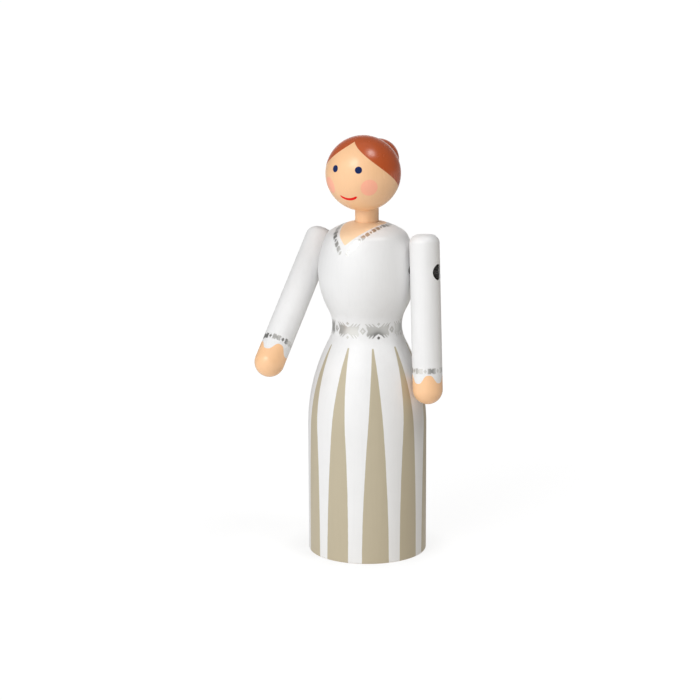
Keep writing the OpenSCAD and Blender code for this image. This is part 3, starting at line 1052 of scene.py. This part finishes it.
    @staticmethod
    def stand_camera(scene, s):
        """Stands the camera where the figure is seen from its left front, a little from above."""
        back = Vector((math.sin(s.turn), -math.cos(s.turn), 0))
        right = Vector((math.cos(s.turn), math.sin(s.turn), 0))
        top = Vector((0, 0, 1))
        up = top * math.cos(s.tilt) - back * math.sin(s.tilt)
        behind = back * math.cos(s.tilt) + top * math.sin(s.tilt)
        leaning = Matrix((right - up * s.roll, up + right * s.roll, behind)).transposed()
        data = bpy.data.cameras.new("camera")
        data.lens, data.sensor_width, data.clip_start = s.lens, 36, 10 * MM
        camera = bpy.data.objects.new("camera", data)
        camera.matrix_world = Matrix.Translation(
            back * s.distance + right * s.aside + top * s.height) @ leaning.to_4x4()
        scene.collection.objects.link(camera)
        scene.camera = camera
        bpy.context.view_layer.update()


class BRIDE_OT_finishes(bpy.types.Operator):
    """Make the node groups of the lacquer, the wood, the borders and the woven cover"""
    bl_idname = "bride.finishes"
    bl_label = "Finishes"

    def execute(self, context):
        make_lacquer_group()
        make_wood_group()
        make_border_group()
        make_braid_group()
        return {"FINISHED"}


class BRIDE_OT_body(bpy.types.Operator):
    """Turn the skirt, waist, bust and shoulders in one piece, drill it and paint the dress"""
    bl_idname = "bride.body"
    bl_label = "Turned Body"

    def execute(self, context):
        m = measures()
        b = m.body
        lip_r = m.socket_r + b.socket_lip
        lip_at = math.acos(lip_r / b.crown_round)
        outline = Outline(0, 0)
        outline.line(m.hem_c.x, 0)
        outline.arc(m.hem_c, math.pi / 2, 15)
        outline.line(b.skirt_d / 2, b.skirt_straight_h)
        outline.arc(m.skirt_c, m.skirt_end, 1)
        outline.arc(m.waist_c, m.bust_start - m.skirt_end, 2)
        outline.arc(m.bust_c, m.bust_end - m.bust_start, 0.75)
        outline.arc(m.shoulder_c, m.crown_start - m.bust_end, 4)
        outline.arc(m.crown_c, lip_at - m.crown_start, 0.9)
        outline.line(m.socket_r, outline.end.co.z - b.socket_lip)
        outline.line(m.socket_r, m.socket_z)
        outline.line(0, m.socket_z)
        piece = new_object("turned_body", outline.turned(RINGS_BODY))
        far = Vector((b.skirt_d, 0, 0))
        middle = Vector((0, 0, m.shoulder_z))
        drill(piece, middle - far, middle + far, 2 * m.bore_r)
        neckline_out, _ = from_line(m, piece.data, m.paint.neckline_tip, m.paint.neckline_slope)
        border_out, border_along = from_line(m, piece.data, m.paint.border_tip, m.paint.border_slope)
        mark(piece.data, "neckline_out", neckline_out)
        mark(piece.data, "border_out", border_out)
        mark(piece.data, "border_along", border_along)
        dress(piece, "torso", "white_paint", dress_material(m), "body")
        return {"FINISHED"}


class BRIDE_OT_neck(bpy.types.Operator):
    """Turn the neck dowel and paint it"""
    bl_idname = "bride.neck"
    bl_label = "Neck Dowel"

    def execute(self, context):
        m = measures()
        h = m.head
        low, r, bevel = m.socket_z + h.neck_play, h.neck_d / 2, h.neck_bevel
        outline = Outline(0, low)
        outline.line(r - bevel, low)
        outline.arc((r - bevel, low + bevel), math.pi / 2, 15)
        outline.line(r, m.neck_top_z - bevel, 8)
        outline.arc((r - bevel, m.neck_top_z - bevel), math.pi / 2, 15)
        outline.line(0, m.neck_top_z)
        piece = new_object("neck_dowel", outline.turned(RINGS_SMALL))
        # The neck's paint is paler than the skin, as painted light against the head's shadow
        painted = plain_paint(m, "painted_neck", m.paint.neck, m.paint.skin_rough)
        dress(piece, "head", "skin_paint", painted, "neck_peg")
        return {"FINISHED"}


class BRIDE_OT_head(bpy.types.Operator):
    """Turn the ball head, cut the bun's flat, drill the sockets and paint the face and hair"""
    bl_idname = "bride.head"
    bl_label = "Ball Head"

    def execute(self, context):
        m = measures()
        h = m.head
        outline = Outline(0, -m.head_r)
        outline.arc((0, 0), math.pi, 2.5)
        bm = outline.turned(RINGS_HEAD)
        bmesh.ops.translate(bm, verts=bm.verts, vec=m.head_c)
        seat = m.head_c + m.bun_way * m.head_flat
        cut = bmesh.ops.bisect_plane(
            bm, geom=bm.verts[:] + bm.edges[:] + bm.faces[:], plane_co=seat, plane_no=m.bun_way,
            dist=0.0001 * MM, clear_outer=True)
        rim = [e for e in cut["geom_cut"] if isinstance(e, bmesh.types.BMEdge)]
        bmesh.ops.edgeloop_fill(bm, edges=rim)
        close_shape(bm)
        piece = new_object("ball_head", bm)
        below = Vector((0, 0, m.head_under_z - m.head_r))
        drill(piece, below, Vector((0, 0, m.neck_top_z + h.glue_line)), h.neck_d + 2 * h.glue_line)
        deep = m.head_flat - h.bun_dowel_l / 2 - h.glue_line
        drill(
            piece, m.head_c + m.bun_way * deep, m.head_c + m.bun_way * h.head_d,
            h.bun_dowel_d + 2 * h.glue_line)
        dress(piece, "head", "skin_paint", head_material(m), "head")
        return {"FINISHED"}


class BRIDE_OT_bun(bpy.types.Operator):
    """Turn the hair bun with its flat seat and dowel hole, and finish the dowel that holds it"""
    bl_idname = "bride.bun"
    bl_label = "Hair Bun"

    def execute(self, context):
        m = measures()
        h = m.head
        hole_r = h.bun_dowel_d / 2 + h.glue_line
        hole_z = m.head_flat + h.bun_dowel_l / 2 + h.glue_line
        outline = Outline(0, hole_z)
        outline.line(hole_r, hole_z)
        outline.line(hole_r, m.head_flat)
        outline.line(m.bun_seat_r, m.head_flat)
        outline.arc((0, m.bun_c), math.pi / 2 + math.asin(2 * h.bun_flat / h.bun_d), 3)
        bm = outline.turned(RINGS_SMALL)
        to_back = Matrix.Rotation(h.bun_rise - math.pi / 2, 4, "X")
        bmesh.ops.transform(bm, verts=bm.verts, matrix=Matrix.Translation(m.head_c) @ to_back)
        piece = new_object("bun", bm)
        painted = plain_paint(m, "painted_bun", m.paint.hair, m.paint.hair_rough)
        dress(piece, "head", "hair_paint", painted, "hair_bun")
        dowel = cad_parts["bun_dowel"]
        dowel.data.materials.clear()
        dowel.data.materials.append(beech_material(m))
        return {"FINISHED"}


class BRIDE_OT_arms(bpy.types.Operator):
    """Turn both arms, drill them for the cord and its knot, and paint the sleeves and hands"""
    bl_idname = "bride.arms"
    bl_label = "Arms"

    def execute(self, context):
        m = measures()
        a, p = m.arms, m.paint
        edge_z = a.arm_above - a.arm_top_round
        both = (
            ("left_arm", 1, a.left_swing, p.left_cuff_h, p.left_cuff_turn, p.left_scallop_turn),
            ("right_arm", -1, a.right_swing, p.right_cuff_h, p.right_cuff_turn, p.right_scallop_turn))
        for node, side, swing, *cuff in both:
            outline = Outline(0, -m.arm_drop - m.arm_r)
            outline.arc((0, -m.arm_drop), math.pi / 2, 4)
            outline.line(m.arm_r, edge_z, 24)
            outline.arc((m.arm_r - a.arm_top_round, edge_z), math.pi / 2, 6)
            outline.line(0, a.arm_above)
            bm = outline.turned(RINGS_ARM)
            bmesh.ops.transform(bm, verts=bm.verts, matrix=arm_tilt(m))
            piece = new_object(node.replace("arm", "dowel_arm"), bm)
            out = Vector((a.arm_d, 0, 0))
            drill(piece, -out, out, 2 * m.bore_r)
            drill(piece, Vector((m.knot_floor_x, 0, 0)), out, a.knot_seat_d)
            bm = bmesh.new()
            bm.from_mesh(piece.data)
            bmesh.ops.transform(bm, verts=bm.verts, matrix=arm_place(m, side, swing))
            bmesh.ops.recalc_face_normals(bm, faces=bm.faces)
            bm.to_mesh(piece.data)
            bm.free()
            material = sleeve_material(m, "painted_" + node, side, swing, *cuff)
            dress(piece, node, "white_paint", material, node)
        return {"FINISHED"}


class BRIDE_OT_elastic(bpy.types.Operator):
    """Lay the elastic cord through the shoulders and tie a knot in the seat of each arm"""
    bl_idname = "bride.elastic"
    bl_label = "Elastic Cord and Knots"

    def execute(self, context):
        m = measures()
        a = m.arms
        steps = 20
        straight = [
            Vector((m.cord_half * k / steps, 0, m.shoulder_z)) for k in range(-steps, steps + 1)]
        cord = self.tube("elastic_cord", straight, a.cord_d / 2, Matrix())
        dress(cord, "torso", "elastic", elastic_material(m), "shoulder_cord")
        for node, side, swing in (("left_knot", 1, a.left_swing), ("right_knot", -1, a.right_swing)):
            place = arm_place(m, side, swing)
            knot = self.tube("tied_" + node, self.overhand(m), a.knot_cord_d / 2, place)
            dress(knot, node.replace("knot", "arm"), "elastic", cord.data.materials[0], node)
        return {"FINISHED"}

    @staticmethod
    def overhand(m):
        """Points of an overhand knot pulled into its seat, from the bore to the cut end."""
        a, r = m.arms, m.arms.knot_cord_d / 2
        depth, below_rim, open_turn, steps = 0.95 * MM, 0.1 * MM, 0.35, 60
        floor = m.knot_floor_x + a.knot_play
        spread = (a.knot_seat_d / 2 - a.knot_play - r) / 3
        middle = floor + depth + r
        points = [Vector((floor + r * 0.2, 0, -0.4 * spread))]
        for k in range(steps + 1):
            t = open_turn + (math.tau - 2 * open_turn) * k / steps
            points.append(Vector((
                middle - depth * math.sin(3 * t), spread * (math.sin(t) + 2 * math.sin(2 * t)),
                spread * (math.cos(t) - 2 * math.cos(2 * t)))))
        points.append(Vector((m.arm_r - below_rim, 0, -0.3 * spread)))
        return points

    @staticmethod
    def tube(name, points, radius, place):
        """Round tube along points, with its strip in metres along and turns around."""
        curve = bpy.data.curves.new(name, "CURVE")
        curve.dimensions, curve.bevel_depth, curve.bevel_resolution = "3D", radius, 8
        curve.use_fill_caps, curve.resolution_u = True, 4
        spline = curve.splines.new("NURBS")
        spline.points.add(len(points) - 1)
        for made, given in zip(spline.points, points):
            made.co = (*given, 1)
        spline.use_endpoint_u, spline.order_u = True, 4
        holder = bpy.data.objects.new(name, curve)
        bpy.context.scene.collection.objects.link(holder)
        graph = bpy.context.evaluated_depsgraph_get()
        mesh = bpy.data.meshes.new_from_object(holder.evaluated_get(graph))
        bpy.data.objects.remove(holder)
        bpy.data.curves.remove(curve)
        length = sum((b - a).length for a, b in zip(points, points[1:]))
        for corner in mesh.uv_layers["UVMap"].data:
            corner.uv.x *= length
        bm = bmesh.new()
        bm.from_mesh(mesh)
        bmesh.ops.transform(bm, verts=bm.verts, matrix=place)
        close_shape(bm, SAME_CORD_POINT)
        bpy.data.meshes.remove(mesh)
        return new_object(name, bm)


class BRIDE_PT_panel(bpy.types.Panel):
    """Pieces of the bride figure"""
    bl_idname = "BRIDE_PT_panel"
    bl_label = "Wooden Bride"
    bl_space_type = "VIEW_3D"
    bl_region_type = "UI"
    bl_category = "Bride"

    def draw(self, context):
        for step in STEPS:
            self.layout.operator(step.bl_idname)
        bride = context.scene.bride
        for group in (bride.body, bride.head, bride.arms, bride.paint, bride.studio):
            box = self.layout.box()
            for key in group.__annotations__:
                box.prop(group, key)


STEPS = (
    BRIDE_OT_stage, BRIDE_OT_finishes, BRIDE_OT_body, BRIDE_OT_neck, BRIDE_OT_head, BRIDE_OT_bun,
    BRIDE_OT_arms, BRIDE_OT_elastic)
CLASSES = (
    BrideBody, BrideHead, BrideArms, BridePaint, BrideStudio, BrideSettings, *STEPS, BRIDE_PT_panel)


def register():
    for each in CLASSES:
        bpy.utils.register_class(each)
    bpy.types.Scene.bride = bpy.props.PointerProperty(type=BrideSettings)


def unregister():
    del bpy.types.Scene.bride
    for each in reversed(CLASSES):
        bpy.utils.unregister_class(each)


def main():
    register()
    bpy.ops.bride.stage()
    bpy.ops.bride.finishes()
    bpy.ops.bride.body()
    bpy.ops.bride.neck()
    bpy.ops.bride.head()
    bpy.ops.bride.bun()
    bpy.ops.bride.arms()
    bpy.ops.bride.elastic()


if __name__ == "__main__":
    main()
